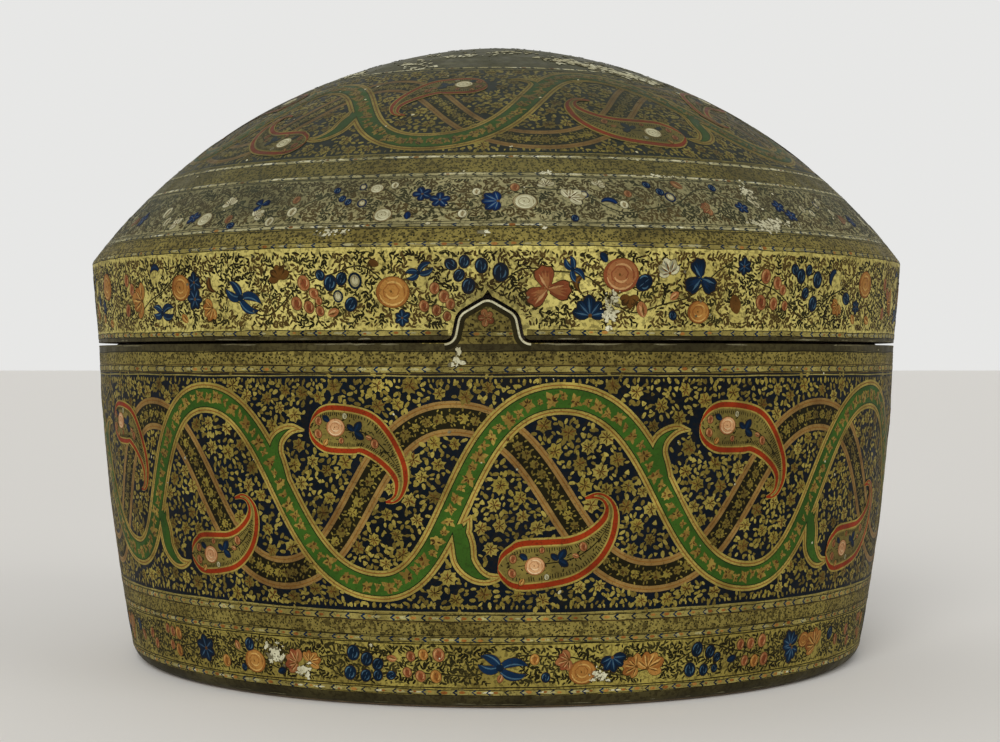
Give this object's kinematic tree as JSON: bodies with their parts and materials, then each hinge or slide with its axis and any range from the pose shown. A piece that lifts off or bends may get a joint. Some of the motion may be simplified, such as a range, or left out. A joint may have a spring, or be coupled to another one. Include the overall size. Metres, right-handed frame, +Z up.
{
  "type": "papier mache box",
  "caption": "Round papier mache box with slightly flared walls, a domed lift-off lid, an inner collar and a front locating tab in a matching notch.",
  "frame": {"origin": "centre of the flat foot that the box stands on", "axes": "+Z up along the axis of the round box, -Y to the front, where the tab is, +X to the right as seen from the front"},
  "size_m": [0.2702, 0.2702, 0.203],
  "materials": {
    "pulp": "bare pressed pulp, brown and matt",
    "painted_gesso": "painted and varnished gesso, gold and navy, satin",
    "lining_paper": "black lacquered paper, satin",
    "collar_board": "dark lacquered pasteboard, worn at the edge"
  },
  "bodies": {
    "box": {"box_shell": "pulp", "box_gesso": "painted_gesso", "wall_lining": "lining_paper", "floor_lining": "lining_paper", "inner_collar": "collar_board"},
    "lid": {"lid_shell": "pulp", "lid_gesso": "painted_gesso", "lid_lining": "lining_paper"}
  },
  "joints": [
    {"name": "lid_lift", "type": "slide", "parent": "box", "child": "lid", "axis": [0, 0, 1], "range_m": [0, 0.15]}
  ]
}
